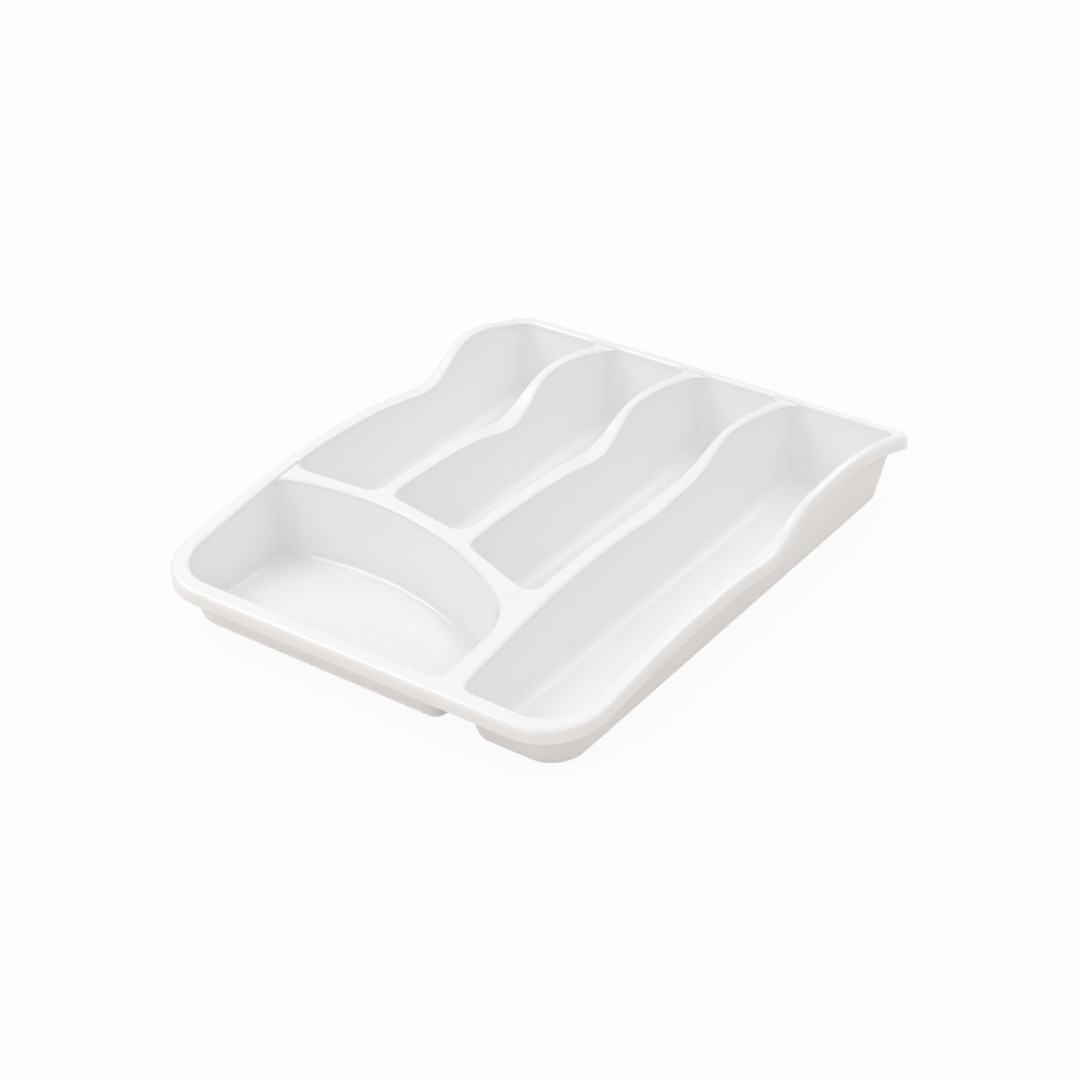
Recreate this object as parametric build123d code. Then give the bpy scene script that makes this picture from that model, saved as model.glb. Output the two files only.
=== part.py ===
from build123d import *
import math
import os

# A drawer tray for cutlery, moulded in one piece of white polypropylene with an even wall.
# Five tapered wells hang from a thin deck: a D-shaped one across the front left, three long ones behind
# its curved bridge, and a fourth that runs the whole length on the right. The deck is a wave: it is low
# at the front, dips before a steep rise, and falls again to the rear, and the wave swings forward and
# rises towards the right. A rounded rim with a short turned-down lip goes all the way round and stands a
# little proud of the bridge and the dividers.
# Frame: origin under the middle of the tray on the plane that it rests on, +X to the right, +Y to the
# rear, +Z up. Lengths are in millimetres and angles in degrees.

# Driving dimensions of the tray.
tray_width = 300.0
tray_length = 370.0
wall = 1.8
draft_angle = 10.5

# Heights of the deck above the surface that the tray stands on, each at the left edge, in the middle
# and at the right edge. Across the tray they follow a parabola through the three.
front_heights = (36.0, 36.0, 36.0)
crest_heights = (52.3, 50.0, 48.8)
dip_heights = (44.3, 43.2, 44.2)
hump_heights = (59.8, 59.4, 65.8)
rear_heights = (45.5, 45.5, 45.0)

# Places of the wave along the left edge, as shares of the tray's length, and how far its rear part has
# swung forward by the right edge. The crest swings half as far.
crest_place_share = 0.42
dip_place_share = 0.70
hump_place_share = 0.83
wave_swing = 50.0

# The shoulder that the deck has just ahead of the dip, and the slopes along the tray.
shoulder_lead = 30.0
shoulder_rise = 3.7
shoulder_slope = -0.09
front_slope = 0.11
rear_slopes = (-0.05, -0.25, -0.37)

# The rim: corner radii in plan, the turned-down lip and the rounding of the outer edge. Its inner edge
# lies rim_margin inside the outer walls of the wells, and stands rim_rise above the bridge and dividers.
front_corner_radius = 38.0
rear_corner_radius = 14.0
lip_depth = 8.5
rim_round = 3.2
rim_rise = 1.3
rim_margin = 0.8

# The wells in plan, measured on their inner faces at the level of the surface that the tray stands on.
# The mouths are the straight front walls of the long wells, which lean with the bridge.
edge_reach = 17.7
divider_base = 27.0
bridge_base = 26.7
side_well_width = 55.0
front_well_depth = 92.6
bridge_radius = 206.0
bridge_apex_share = 0.25
mouth_slopes = (0.075, -0.16, -0.34)

# Roundings of the wells: one radius for the foot and the upright corners, two wide corners, and the
# bevel that breaks the edge of each opening.
inner_round = 9.0
rim_corner = 20.0
bay_corner = 31.0
opening_bevel = 1.1

# Where the moulding is divided into its named regions: how deep the deck's regions reach down the
# walls, and how far inside the lip that level begins.
deck_band = 3.4
lip_clearance = 1.4

# Lengths that only help to cut.
overrun = 20.0

wall_run = wall / math.cos(math.radians(draft_angle))
top_level = max(hump_heights) + overrun
inner_width = tray_width - 2 * edge_reach
long_well_width = (inner_width - side_well_width - 3 * divider_base) / 3
well_pitch = long_well_width + divider_base
rear_line = tray_length - edge_reach
side_well_left = tray_width - edge_reach - side_well_width
bay_side = edge_reach + 3 * well_pitch - divider_base
bridge_centre_x = bridge_apex_share * tray_width
bridge_centre_y = edge_reach + front_well_depth - bridge_radius
to_middle = Location((-tray_width / 2, -tray_length / 2, 0))


# The wave of the deck.

def across(values, x):
    """A value at x on the parabola through its values at the left edge, middle and right edge."""
    left, middle, right = values
    share = x / tray_width
    return left + (4 * middle - 3 * left - right) * share + 2 * (left - 2 * middle + right) * share ** 2


def wave_face(x, drop):
    """The face under the deck's wave at one station across the tray, lowered by drop."""
    swing = wave_swing * (x / tray_width) ** 2
    crest_y = crest_place_share * tray_length - swing / 2
    dip_y = dip_place_share * tray_length - swing
    hump_y = hump_place_share * tray_length - swing
    dip = across(dip_heights, x)
    front_y = -overrun
    rear_y = tray_length + overrun
    rear_slope = across(rear_slopes, x)
    knots = [
        (front_y, across(front_heights, x) - front_slope * overrun, front_slope),
        (0, across(front_heights, x), front_slope),
        (crest_y, across(crest_heights, x), 0),
        (dip_y - shoulder_lead, dip + shoulder_rise, shoulder_slope),
        (dip_y, dip, 0),
        (hump_y, across(hump_heights, x), 0),
        (tray_length, across(rear_heights, x), rear_slope),
        (rear_y, across(rear_heights, x) + rear_slope * overrun, rear_slope),
    ]
    points = [(x, y, z - drop) for y, z, slope in knots]
    crown = Spline(points, tangents=[(0, 1, slope) for y, z, slope in knots])
    sides = Polyline(crown @ 0, (x, front_y, -overrun), (x, rear_y, -overrun), crown @ 1)
    return make_face(crown + sides)


def wave_block(drop):
    """Everything under the deck's surface lowered by drop, past the tray's outline on all sides."""
    stations = (-overrun, tray_width / 2, tray_width + overrun)
    return loft([wave_face(x, drop) for x in stations])


def rim_prism(inset):
    """An upright prism over the rim's outline, set in from the outer edge."""
    outline = Rectangle(tray_width - 2 * inset, tray_length - 2 * inset)
    outline = Pos(tray_width / 2, tray_length / 2) * outline
    front = outline.vertices().group_by(Axis.Y)[0]
    outline = fillet(front, front_corner_radius - inset)
    rear = outline.vertices().group_by(Axis.Y)[-1]
    outline = fillet(rear, rear_corner_radius - inset)
    return Pos(0, 0, -overrun) * extrude(outline, top_level + overrun)


# The wells. Each outline lies on the plane that the tray stands on and may be grown by the run of the
# wall to give the outer face. With it come the corners that are rounded later, on the tapered block.

def bridge_y(x, radius):
    """Where an arc about the bridge's centre crosses a line along the tray."""
    return bridge_centre_y + math.sqrt(radius ** 2 - (x - bridge_centre_x) ** 2)


def front_well_outline(grow):
    """The D-shaped well across the front left, with its bay and its corner at the rim rounded."""
    left = edge_reach - grow
    right = bay_side + grow
    radius = bridge_radius + grow
    ends = [(x, bridge_y(x, radius)) for x in (left, right)]
    back = ThreePointArc(ends[0], (bridge_centre_x, bridge_centre_y + radius), ends[1])
    sides = Polyline(ends[1], (right, left), (left, left), ends[0])
    outline = make_face(back + sides)
    outline = fillet(outline.vertices().sort_by_distance(ends[1])[0], bay_corner + grow)
    outline = fillet(outline.vertices().sort_by_distance((left, left))[0], rim_corner + grow)
    return outline, [ends[0], (right, left)]


def long_well_outline(index, grow):
    """One of the three long wells behind the bridge, counted from the left."""
    middle = edge_reach + index * well_pitch + long_well_width / 2
    half = long_well_width / 2 + grow
    slope = mouth_slopes[index]
    mouth_y = bridge_y(middle, bridge_radius + bridge_base) - grow * math.hypot(1, slope)
    rear = rear_line + grow
    corners = [
        (middle - half, mouth_y - slope * half),
        (middle + half, mouth_y + slope * half),
        (middle + half, rear),
        (middle - half, rear),
    ]
    return make_face(Polyline(*corners, close=True)), corners


def side_well_outline(grow):
    """The well along the right side, as long as the tray, with its corner at the rim rounded."""
    left = side_well_left - grow
    right = side_well_left + side_well_width + grow
    front = edge_reach - grow
    rear = rear_line + grow
    corners = [(right, front), (right, rear), (left, rear), (left, front)]
    outline = make_face(Polyline(*corners, close=True))
    wide = outline.vertices().sort_by_distance(corners[0])[0]
    return fillet(wide, rim_corner + grow), corners[1:]


def court_outline(grow):
    """The space that the raised rim frames, just inside the outer walls of the wells."""
    left = edge_reach + rim_margin - grow
    right = tray_width - left
    rear = tray_length - left
    corners = [(left, left), (right, left), (right, rear), (left, rear)]
    outline = make_face(Polyline(*corners, close=True))
    wide = outline.vertices().group_by(Axis.Y)[0]
    return fillet(wide, rim_corner + grow), corners[2:]


def well_form(outline, level, grow, radius):
    """The tapered block on a well's outline, from a level up past the deck, with its foot rounded."""
    face, corners = outline(grow)
    block = extrude(face, top_level)
    walls = [side for side in block.faces() if abs(side.normal_at().Z) < 0.5]
    block = draft(walls, Plane.XY, -draft_angle)
    block -= Pos(0, 0, level - overrun / 2) * Box(4 * tray_width, 4 * tray_length, overrun)
    slanted = block.edges().filter_by(lambda edge: abs((edge @ 1 - edge @ 0).Z) > wall)
    upright_edges = [slanted.sort_by_distance((*corner, level))[0] for corner in corners]
    return fillet(block.faces().sort_by(Axis.Z)[0].edges() + upright_edges, radius)


def inner_form(outline):
    """The space inside a well."""
    return well_form(outline, wall, 0, inner_round)


def outer_form(outline):
    """The space inside a well with the wall and floor around it."""
    return well_form(outline, 0, wall_run, inner_round + wall)


well_outlines = {
    "front_well": front_well_outline,
    "long_well_1": lambda grow: long_well_outline(0, grow),
    "long_well_2": lambda grow: long_well_outline(1, grow),
    "long_well_3": lambda grow: long_well_outline(2, grow),
    "side_well": side_well_outline,
}


# The deck and its rim.

def crown_face(form):
    """The top of a block that the deck's wave closes."""
    return form.faces().filter_by(GeomType.BSPLINE).sort_by(SortBy.AREA)[-1]


def sunk_block(inner_forms, drop):
    """The block under the wave lowered by drop, with the wells sunk into it and their edges bevelled."""
    form = wave_block(drop) & rim_prism(0)
    for inner in inner_forms:
        form -= inner
    openings = [edge for wire in crown_face(form).inner_wires() for edge in wire.edges()]
    return chamfer(openings, opening_bevel)


def underside(outer_forms):
    """The space under the deck, with an even wall at the rim's step, and the space below its band."""
    hollow = wave_block(wall) & rim_prism(wall)
    hollow -= outer_form(court_outline) - wave_block(rim_rise + wall)
    for outer in outer_forms:
        hollow -= outer
    return hollow, wave_block(deck_band) & rim_prism(wall + lip_clearance)


# The bars between the wells, and the whole moulding.

def slab(left, right):
    """The space between two lines along the tray."""
    middle = (left + right) / 2
    return Pos(middle, tray_length / 2) * Rectangle(right - left, tray_length)


def bridge_disc(radius):
    """A disc about the bridge's centre."""
    return Pos(bridge_centre_x, bridge_centre_y) * Circle(radius)


def bar_regions():
    """The dividers and the curved bridge in plan. Each takes what the ones before it have left."""
    middles = [edge_reach + index * well_pitch + long_well_width / 2 for index in range(3)]
    bridge_rear = bridge_disc(bridge_radius + bridge_base)
    return {
        "divider_1": slab(middles[0], middles[1]) - bridge_rear,
        "divider_2": slab(middles[1], middles[2]) - bridge_rear,
        "cross_bridge": slab(0, bay_side) - bridge_disc(bridge_radius - 2 * inner_round),
        "divider_3": slab(bay_side - 2 * inner_round, side_well_left + side_well_width / 2),
    }


def build():
    """Every named region of the moulding: the wells, the bars between them and the rim around them."""
    inner_forms = {name: inner_form(outline) for name, outline in well_outlines.items()}
    outer_forms = {name: outer_form(outline) for name, outline in well_outlines.items()}
    court = inner_form(court_outline)
    hollow, below_band = underside(outer_forms.values())

    walls_top = wave_block(deck_band)
    nodes = {name: (outer_forms[name] - inner_forms[name]) & walls_top for name in well_outlines}

    bars = (sunk_block(inner_forms.values(), rim_rise) & court) - hollow - below_band
    for name, region in bar_regions().items():
        prism = extrude(region, top_level)
        nodes[name] = bars & prism
        bars -= prism

    rim = sunk_block(inner_forms.values(), 0)
    rim = fillet(crown_face(rim).outer_wire().edges(), rim_round)
    nodes["rim"] = rim - wave_block(lip_depth) - court - hollow - below_band
    return nodes


if __name__ == "__main__":
    os.makedirs("parts", exist_ok=True)
    for name, shape in build().items():
        placed = to_middle * shape
        placed.label = name
        export_step(placed, f"parts/{name}.step")
        print(name, round(placed.volume, 1), len(placed.solids()), placed.is_valid)
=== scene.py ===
import math

import bmesh
import bpy
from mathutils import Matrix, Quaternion, Vector


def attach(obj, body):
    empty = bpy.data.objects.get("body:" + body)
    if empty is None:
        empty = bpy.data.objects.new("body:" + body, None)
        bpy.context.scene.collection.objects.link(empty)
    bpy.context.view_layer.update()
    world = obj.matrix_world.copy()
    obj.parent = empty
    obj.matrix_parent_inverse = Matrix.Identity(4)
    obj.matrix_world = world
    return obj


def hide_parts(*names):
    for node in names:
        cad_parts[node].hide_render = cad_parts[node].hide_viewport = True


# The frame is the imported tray: ten regions of one moulding, in metres, standing on the plane Z = 0.
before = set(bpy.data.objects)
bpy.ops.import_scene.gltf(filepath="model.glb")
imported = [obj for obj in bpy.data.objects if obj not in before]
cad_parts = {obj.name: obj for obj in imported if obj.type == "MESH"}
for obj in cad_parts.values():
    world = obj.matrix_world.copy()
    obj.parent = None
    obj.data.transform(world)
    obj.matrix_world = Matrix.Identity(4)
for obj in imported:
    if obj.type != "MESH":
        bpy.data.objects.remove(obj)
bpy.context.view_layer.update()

bl_info = {
    "name": "Cutlery Tray",
    "version": (1, 0, 0),
    "blender": (4, 5, 0),
    "location": "3D View > Sidebar > Tray",
    "description": "Finishes a moulded cutlery tray and sets it in a pale studio",
    "category": "Object",
}

RIM = ["rim"]
BARS = ["cross_bridge", "divider_1", "divider_2", "divider_3"]
FRONT_WELL = "front_well"
WELLS = ["long_well_1", "long_well_2", "long_well_3", "side_well"]
UP = Vector((0, 0, 1))
MILLIMETRE = 0.001

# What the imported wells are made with.
WALL = 1.8 * MILLIMETRE
DRAFT = math.radians(10.5)
PACKED_ROUND = 9 * MILLIMETRE
# Where two walls meet, the seam of the foot's round runs this far up the wall.
SEAM_REACH = 2 * MILLIMETRE
# The normals of the well's inside rise by more than this share, which leaves its outside out,
INSIDE_SHARE = 0.02
# and those of its floor by more than this one.
LEVEL_SHARE = 0.99
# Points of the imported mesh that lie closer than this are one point.
MERGE_REACH = 0.001 * MILLIMETRE
# Faces that meet at less than this are shaded as one surface.
SMOOTH_ANGLE = math.radians(30)

POLYPROPYLENE_IOR = 1.49
# How far red, green and blue run in the milky plastic, as shares of its milky depth.
MILKY_SHARES = (1.0, 0.95, 0.9)
# The handling pattern's noise lies between these nearly everywhere.
NOISE_LOW = 0.3
NOISE_HIGH = 0.7
# How much smoother, and how much duller, than the rest a handled place can be.
HANDLED_SMOOTHER = 0.02
HANDLED_DULLER = 0.04

FLOOR_SIZE = 6.0
# The floor lies a hair lower than the tray's underside, so that no face lies in another.
FLOOR_DROP = 0.05 * MILLIMETRE
PAPER_ROUGHNESS = 0.9
# Which way each lamp hangs from the tray, over the ground.
LAMP_WAYS = {"right": (1, 0, 0), "left": (-1, -0.36, 0), "front": (0, -1, 0), "rear": (0.1, 1, 0)}
# The width of the camera's film, in millimetres, and the nearest that it sees, in metres.
FILM_WIDTH = 36.0
NEAREST_SEEN = 0.01


def linear(hex_colour):
    """An sRGB hex colour as linear red, green, blue and alpha."""
    shares = [int(hex_colour[place:place + 2], 16) / 255 for place in (1, 3, 5)]
    return [s / 12.92 if s <= 0.04045 else ((s + 0.055) / 1.055) ** 2.4 for s in shares] + [1.0]


def add_node(tree, kind, values=(), links=(), **settings):
    """One node with its settings, the values of its sockets and what feeds them."""
    node = tree.nodes.new(kind)
    for name, setting in settings.items():
        setattr(node, name, setting)
    for socket, value in dict(values).items():
        node.inputs[socket].default_value = value
    for socket, source in dict(links).items():
        tree.links.new(source, node.inputs[socket])
    return node


def new_material(name):
    """An empty material and its node tree."""
    material = bpy.data.materials.new(name)
    material.use_nodes = True
    material.node_tree.nodes.clear()
    return material, material.node_tree


def dress(names, material):
    """Gives CAD nodes their material."""
    for name in names:
        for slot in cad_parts[name].material_slots:
            slot.material = material


def colour_setting(name, description, hex_colour):
    """A colour that a user can change."""
    return bpy.props.FloatVectorProperty(
        name=name, description=description, subtype="COLOR", size=4, default=linear(hex_colour),
        min=0.0, max=1.0)


def share_setting(name, description, share):
    """A share between none and all."""
    return bpy.props.FloatProperty(
        name=name, description=description, subtype="FACTOR", default=share, min=0.0, max=1.0)


def length_setting(name, description, length, least=0.0):
    """A length that may be a small part of a millimetre."""
    return bpy.props.FloatProperty(
        name=name, description=description, unit="LENGTH", precision=5, default=length, min=least)


def angle_setting(name, description, degrees):
    """An angle, told in degrees."""
    return bpy.props.FloatProperty(
        name=name, description=description, subtype="ANGLE", default=math.radians(degrees))


def light_setting(side, light):
    """How much light the lamp on one side gives."""
    return bpy.props.FloatProperty(
        name=f"{side.capitalize()} light", description=f"What the {side} lamp gives the tray, in W/m2",
        default=light, min=0.0)


def height_setting(side, degrees):
    """How high the lamp on one side hangs."""
    return angle_setting(
        f"{side.capitalize()} height", f"How high the {side} lamp hangs over the horizon", degrees)


class MouldingSettings(bpy.types.PropertyGroup):
    colour: colour_setting("Colour", "Colour of the white plastic", "#F5F4F4")
    roughness: share_setting("Roughness", "Roughness of the satin body", 0.3)
    skin_roughness: share_setting("Skin roughness", "Roughness of the smooth skin", 0.12)
    deck_skin: share_setting("Deck skin", "Share of the smooth skin on the rim and the bars", 0.35)
    well_skin: share_setting("Well skin", "Share of the smooth skin in the long and side wells", 0.2)
    front_well_skin: share_setting("Front well skin", "Share of the smooth skin in the D-shaped well", 0.9)
    deck_etching: share_setting("Deck etching", "Share of the etched grain on the rim and the bars", 0.25)
    well_etching: share_setting("Well etching", "Share of the etched grain in the wells", 1.0)
    grain_size: length_setting(
        "Grain", "Size of the mould's etched grain", 1.4 * MILLIMETRE, 0.1 * MILLIMETRE)
    grain_depth: length_setting("Grain depth", "Depth of the mould's etched grain", 0.03 * MILLIMETRE)
    handling_size: length_setting(
        "Handling", "Size of the duller patches that handling leaves", 28 * MILLIMETRE, 1 * MILLIMETRE)
    milkiness: share_setting("Milkiness", "Share of the light that runs on inside the plastic", 0.2)
    milky_depth: length_setting("Milky depth", "How far light runs inside the plastic", 1.5 * MILLIMETRE)
    foot_round: length_setting(
        "Foot", "Round between the D-shaped well's walls and its floor", 4.5 * MILLIMETRE, 4 * MILLIMETRE)


class StudioSettings(bpy.types.PropertyGroup):
    backdrop: colour_setting("Backdrop", "Colour of the floor and of what is behind", "#FFFFFF")
    backdrop_share: share_setting(
        "Backdrop share", "Share of the floor seen as plain backdrop, over its shading and shadow", 0.93)
    paper: colour_setting("Paper", "Colour of the paper that lights the tray from below", "#ECE6E0")
    room_light: bpy.props.FloatProperty(
        name="Room light", description="Strength of the even light from all round", default=0.62, min=0.0)
    right_light: light_setting("right", 0.26)
    left_light: light_setting("left", 0.66)
    front_light: light_setting("front", 0.4)
    rear_light: light_setting("rear", 0.7)
    right_height: height_setting("right", 55)
    left_height: height_setting("left", 50)
    front_height: height_setting("front", 35)
    rear_height: height_setting("rear", 47)
    lamp_distance: length_setting("Lamp distance", "From the tray to each lamp", 2.0)
    lamp_size: length_setting("Lamp size", "Side of the square lamps on the right, left and front", 1.0)
    rear_size: length_setting(
        "Rear size", "Side of the rear lamp, which is broader so that it draws no hard lines", 1.5)
    azimuth: angle_setting("Azimuth", "How far the camera has gone round from the front", 36.82)
    elevation: angle_setting("Elevation", "How far the camera looks down", 32.28)
    roll: angle_setting("Roll", "How far the camera leans", -1.63)
    distance: length_setting("Distance", "From the camera to the point that it looks at", 1.3902)
    lens: bpy.props.FloatProperty(
        name="Lens", description="Focal length of the camera", subtype="DISTANCE_CAMERA",
        default=77.74, min=1.0)
    aim: bpy.props.FloatVectorProperty(
        name="Aim", description="The point that the camera looks at", subtype="TRANSLATION",
        default=(0.005, -0.0101, 0.02))


def moulded_polypropylene(name, settings, etching, skin):
    """Polypropylene copolymer, injection moulded in a steel mould that is polished and lightly etched.

    It is a milky white whose thin walls let a little light run on inside. Its satin body gives soft broad
    shades. The polished steel leaves a smooth skin, which gives the rim and the foot of the D-shaped well
    their light lines, and the etching breaks up the shine on the walls and floors of the wells.
    """
    material, tree = new_material(name)
    place = add_node(tree, "ShaderNodeTexCoord").outputs["Object"]
    handling = add_node(
        tree, "ShaderNodeTexNoise",
        values={"Scale": 1 / settings.handling_size, "Detail": 3.0, "Roughness": 0.55},
        links={"Vector": place})
    roughness = add_node(
        tree, "ShaderNodeMapRange",
        values={"From Min": NOISE_LOW, "From Max": NOISE_HIGH,
                "To Min": settings.roughness - HANDLED_SMOOTHER,
                "To Max": settings.roughness + HANDLED_DULLER},
        links={"Value": handling.outputs["Fac"]})
    # The real grain is about 0.1 mm across, too fine for the picture, so it is drawn coarser.
    grain = add_node(
        tree, "ShaderNodeTexNoise",
        values={"Scale": 1 / settings.grain_size, "Detail": 2.0, "Roughness": 0.6},
        links={"Vector": place})
    etched = add_node(
        tree, "ShaderNodeBump",
        values={"Strength": etching, "Distance": settings.grain_depth},
        links={"Height": grain.outputs["Fac"]})
    surface = add_node(
        tree, "ShaderNodeBsdfPrincipled",
        values={"Base Color": settings.colour, "IOR": POLYPROPYLENE_IOR,
                "Subsurface Weight": settings.milkiness, "Subsurface Radius": MILKY_SHARES,
                "Subsurface Scale": settings.milky_depth, "Coat Weight": skin,
                "Coat Roughness": settings.skin_roughness, "Coat IOR": POLYPROPYLENE_IOR},
        links={"Roughness": roughness.outputs["Result"], "Normal": etched.outputs["Normal"]})
    add_node(tree, "ShaderNodeOutputMaterial", links={"Surface": surface.outputs["BSDF"]})
    return material


class TRAY_OT_finish_rim(bpy.types.Operator):
    """Gives the rim its polished white plastic"""
    bl_idname = "tray.finish_rim"
    bl_label = "Finish the rim"

    def execute(self, context):
        settings = context.scene.tray_moulding
        dress(RIM, moulded_polypropylene(
            "polished_polypropylene", settings, settings.deck_etching, settings.deck_skin))
        return {"FINISHED"}


class TRAY_OT_finish_bars(bpy.types.Operator):
    """Gives the curved bridge and the dividers their polished white plastic"""
    bl_idname = "tray.finish_bars"
    bl_label = "Finish the bridge and dividers"

    def execute(self, context):
        settings = context.scene.tray_moulding
        dress(BARS, moulded_polypropylene(
            "bar_polypropylene", settings, settings.deck_etching, settings.deck_skin))
        return {"FINISHED"}


class TRAY_OT_finish_wells(bpy.types.Operator):
    """Gives the four wells behind and beside the D-shaped one their lightly etched white plastic"""
    bl_idname = "tray.finish_wells"
    bl_label = "Finish the wells"

    def execute(self, context):
        settings = context.scene.tray_moulding
        dress(WELLS, moulded_polypropylene(
            "etched_polypropylene", settings, settings.well_etching, settings.well_skin))
        return {"FINISHED"}


def way_inward(point, at_floor):
    """The level way from a point of a well's inside into the well.

    At the floor's edge the point itself looks straight up, so the way comes from the points beside it.
    """
    beside = [edge.other_vert(point) for edge in point.link_edges] if at_floor else []
    facing = sum((other.normal for other in beside if other.normal.z > INSIDE_SHARE), point.normal.copy())
    return Vector((facing.x, facing.y, 0)).normalized()


def tighten_foot(shell, foot_round):
    """Draws the round at the foot of a well's inside towards the corner between its wall and floor."""
    corner_reach = PACKED_ROUND / math.tan((math.pi / 2 + DRAFT) / 2)
    round_top = WALL + PACKED_ROUND * (1 - math.sin(DRAFT))
    shell.normal_update()
    places = {}
    for point in shell.verts:
        if point.normal.z < INSIDE_SHARE or point.co.z > round_top + SEAM_REACH:
            continue
        height = point.co.z - WALL
        # How much of the round's own normal rises at this height, from the wall's draft to the level floor.
        rise = min(1.0, max(math.sin(DRAFT), 1 - height / PACKED_ROUND))
        inward = way_inward(point, rise > LEVEL_SHARE)
        if point.co.z > round_top:
            # The seam above the round goes down with it, along the wall.
            corner = point.co + height * (math.tan(DRAFT) * inward - UP)
        else:
            centre = point.co + PACKED_ROUND * (math.sqrt(1 - rise ** 2) * inward + rise * UP)
            corner = centre - PACKED_ROUND * UP - corner_reach * inward
        places[point] = corner + (point.co - corner) * foot_round / PACKED_ROUND
    for point, place in places.items():
        point.co = place
    shell.normal_update()


class TRAY_OT_shape_front_well(bpy.types.Operator):
    """Gives the D-shaped well its tight foot, where the light draws a thin line, and its etched plastic"""
    bl_idname = "tray.shape_front_well"
    bl_label = "Shape the D-shaped well"

    def execute(self, context):
        settings = context.scene.tray_moulding
        mesh = bpy.data.meshes.new("front_well_shell")
        shell = bmesh.new()
        shell.from_mesh(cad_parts[FRONT_WELL].data)
        bmesh.ops.remove_doubles(shell, verts=shell.verts, dist=MERGE_REACH)
        tighten_foot(shell, settings.foot_round)
        shell.to_mesh(mesh)
        shell.free()
        well = bpy.data.objects.new("front_well_shell", mesh)
        context.collection.objects.link(well)
        bpy.ops.object.select_all(action="DESELECT")
        well.select_set(True)
        context.view_layer.objects.active = well
        bpy.ops.object.shade_smooth_by_angle(angle=SMOOTH_ANGLE)
        mesh.materials.clear()
        mesh.materials.append(moulded_polypropylene(
            "etched_front_well_polypropylene", settings, settings.well_etching, settings.front_well_skin))
        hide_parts(FRONT_WELL)
        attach(well, "root")
        return {"FINISHED"}


def seen_white(tree, shaded, settings):
    """What the camera and reflections see as the backdrop's colour, keeping part of the floor's shading."""
    rays = add_node(tree, "ShaderNodeLightPath")
    seen = add_node(
        tree, "ShaderNodeMath", links={0: rays.outputs["Is Camera Ray"], 1: rays.outputs["Is Glossy Ray"]},
        operation="MAXIMUM")
    share = add_node(
        tree, "ShaderNodeMath", values={1: settings.backdrop_share}, links={0: seen.outputs["Value"]},
        operation="MULTIPLY")
    glow = add_node(tree, "ShaderNodeEmission", values={"Color": settings.backdrop, "Strength": 1.0})
    return add_node(
        tree, "ShaderNodeMixShader",
        links={0: share.outputs["Value"], 1: shaded, 2: glow.outputs["Emission"]}).outputs["Shader"]


def lay_floor(settings):
    """A wide pale paper floor, level with the tray's underside. Its matt surface keeps a faint shadow."""
    bpy.ops.mesh.primitive_plane_add(size=FLOOR_SIZE, location=(0, 0, -FLOOR_DROP))
    floor = bpy.context.object
    floor.name = "floor"
    bpy.ops.object.transform_apply(location=True, rotation=True, scale=True)
    material, tree = new_material("pale_paper")
    paper = add_node(
        tree, "ShaderNodeBsdfDiffuse", values={"Color": settings.paper, "Roughness": PAPER_ROUGHNESS})
    add_node(
        tree, "ShaderNodeOutputMaterial",
        links={"Surface": seen_white(tree, paper.outputs["BSDF"], settings)})
    floor.data.materials.append(material)


def light_room(settings):
    """Even light from all round, which the camera sees as the backdrop's colour."""
    world = bpy.data.worlds.new("pale_room")
    bpy.context.scene.world = world
    world.use_nodes = True
    tree = world.node_tree
    tree.nodes.clear()
    rays = add_node(tree, "ShaderNodeLightPath")
    room = add_node(
        tree, "ShaderNodeBackground", values={"Color": settings.backdrop, "Strength": settings.room_light})
    seen = add_node(tree, "ShaderNodeBackground", values={"Color": settings.backdrop, "Strength": 1.0})
    mixed = add_node(
        tree, "ShaderNodeMixShader",
        links={0: rays.outputs["Is Camera Ray"], 1: room.outputs["Background"],
               2: seen.outputs["Background"]})
    add_node(tree, "ShaderNodeOutputWorld", links={"Surface": mixed.outputs["Shader"]})


def hang_lamp(name, distance, size, way, height, light):
    """One large soft square lamp, a way and a height from the tray, which gets its light in W/m2."""
    toward = math.cos(height) * Vector(way).normalized() + math.sin(height) * UP
    bpy.ops.object.light_add(type="AREA", location=distance * toward)
    lamp = bpy.context.object
    lamp.name = name
    lamp.data.size = size
    # A square lamp of power P gives P / (pi x distance squared) straight ahead of it.
    lamp.data.energy = math.pi * distance ** 2 * light
    lamp.rotation_euler = (-toward).to_track_quat("-Z", "Y").to_euler()
    lamp.visible_camera = False


def light_tray(settings):
    """Four soft lamps, one on each side of the tray."""
    for side, way in LAMP_WAYS.items():
        size = settings.rear_size if side == "rear" else settings.lamp_size
        height = getattr(settings, f"{side}_height")
        light = getattr(settings, f"{side}_light")
        hang_lamp(f"{side}_lamp", settings.lamp_distance, size, way, height, light)


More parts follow.
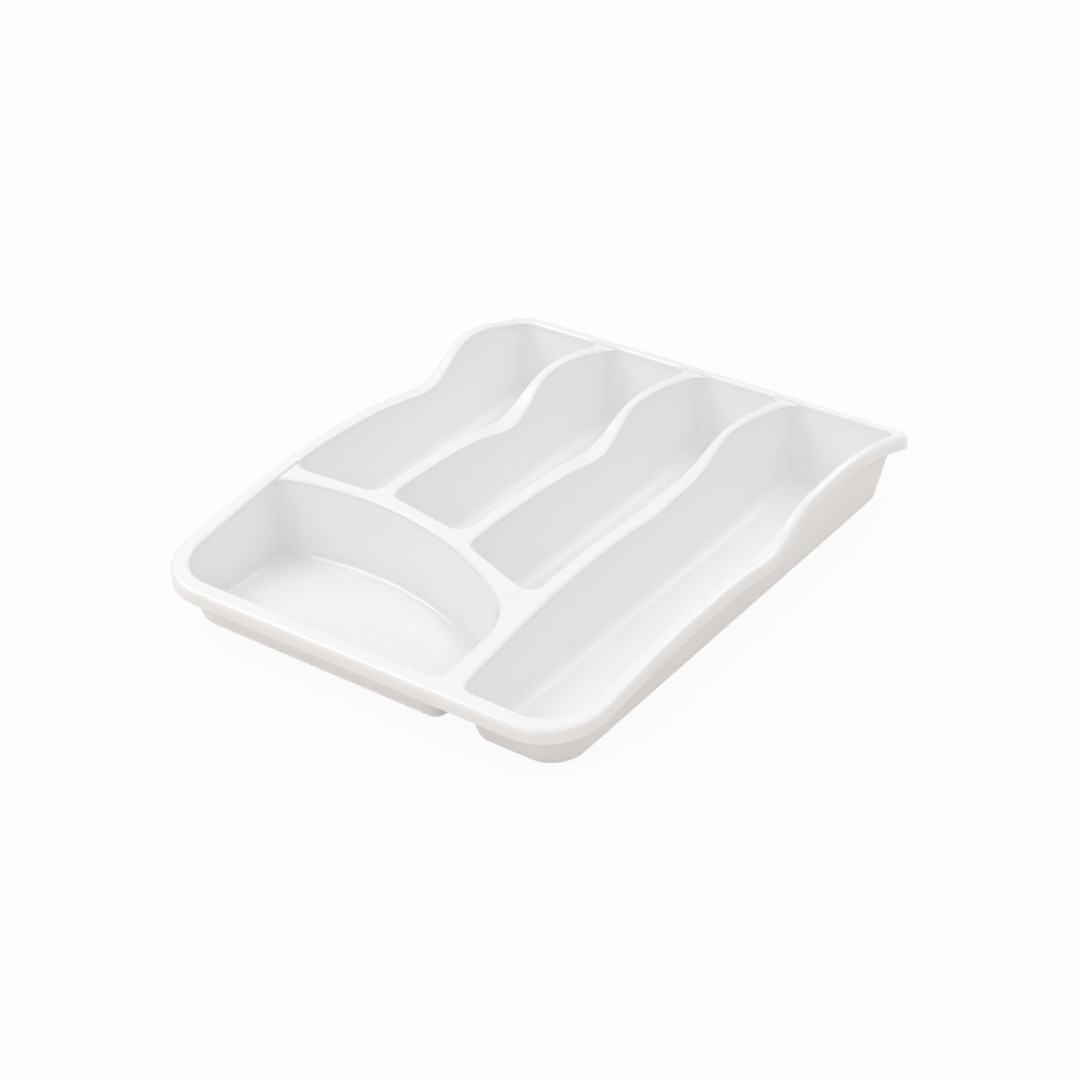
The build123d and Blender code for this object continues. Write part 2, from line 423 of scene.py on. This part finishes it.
def place_camera(settings):
    """The camera at the picture's angle."""
    bpy.ops.object.camera_add()
    camera = bpy.context.object
    camera.data.lens = settings.lens
    camera.data.sensor_width = FILM_WIDTH
    camera.data.clip_start = NEAREST_SEEN
    level = math.cos(settings.elevation)
    back = Vector((math.sin(settings.azimuth) * level, -math.cos(settings.azimuth) * level,
                   math.sin(settings.elevation)))
    camera.location = Vector(settings.aim) + settings.distance * back
    camera.rotation_mode = "QUATERNION"
    camera.rotation_quaternion = (-back).to_track_quat("-Z", "Y") @ Quaternion((0, 0, 1), settings.roll)
    bpy.context.scene.camera = camera


class TRAY_OT_set_stage(bpy.types.Operator):
    """Lays the pale floor, lights the room softly and places the camera"""
    bl_idname = "tray.set_stage"
    bl_label = "Set the stage"

    def execute(self, context):
        settings = context.scene.tray_studio
        lay_floor(settings)
        light_room(settings)
        light_tray(settings)
        place_camera(settings)
        context.scene.view_settings.view_transform = "Standard"
        return {"FINISHED"}


class TRAY_PT_panel(bpy.types.Panel):
    """Lists the settings and the steps that finish the tray"""
    bl_idname = "TRAY_PT_panel"
    bl_label = "Cutlery tray"
    bl_space_type = "VIEW_3D"
    bl_region_type = "UI"
    bl_category = "Tray"

    def draw(self, context):
        for group in (context.scene.tray_moulding, context.scene.tray_studio):
            box = self.layout.box()
            for name in group.__annotations__:
                box.prop(group, name)
        for operator in OPERATORS:
            self.layout.operator(operator.bl_idname)


OPERATORS = (
    TRAY_OT_finish_rim,
    TRAY_OT_finish_bars,
    TRAY_OT_finish_wells,
    TRAY_OT_shape_front_well,
    TRAY_OT_set_stage,
)
CLASSES = (MouldingSettings, StudioSettings, *OPERATORS, TRAY_PT_panel)


def register():
    for kind in CLASSES:
        bpy.utils.register_class(kind)
    bpy.types.Scene.tray_moulding = bpy.props.PointerProperty(type=MouldingSettings)
    bpy.types.Scene.tray_studio = bpy.props.PointerProperty(type=StudioSettings)


def unregister():
    del bpy.types.Scene.tray_studio
    del bpy.types.Scene.tray_moulding
    for kind in reversed(CLASSES):
        bpy.utils.unregister_class(kind)


def main():
    """Finishes every piece and sets the stage."""
    register()
    bpy.ops.object.select_all(action="DESELECT")
    bpy.ops.tray.finish_rim()
    bpy.ops.tray.finish_bars()
    bpy.ops.tray.finish_wells()
    bpy.ops.tray.shape_front_well()
    bpy.ops.tray.set_stage()


if __name__ == "__main__":
    main()
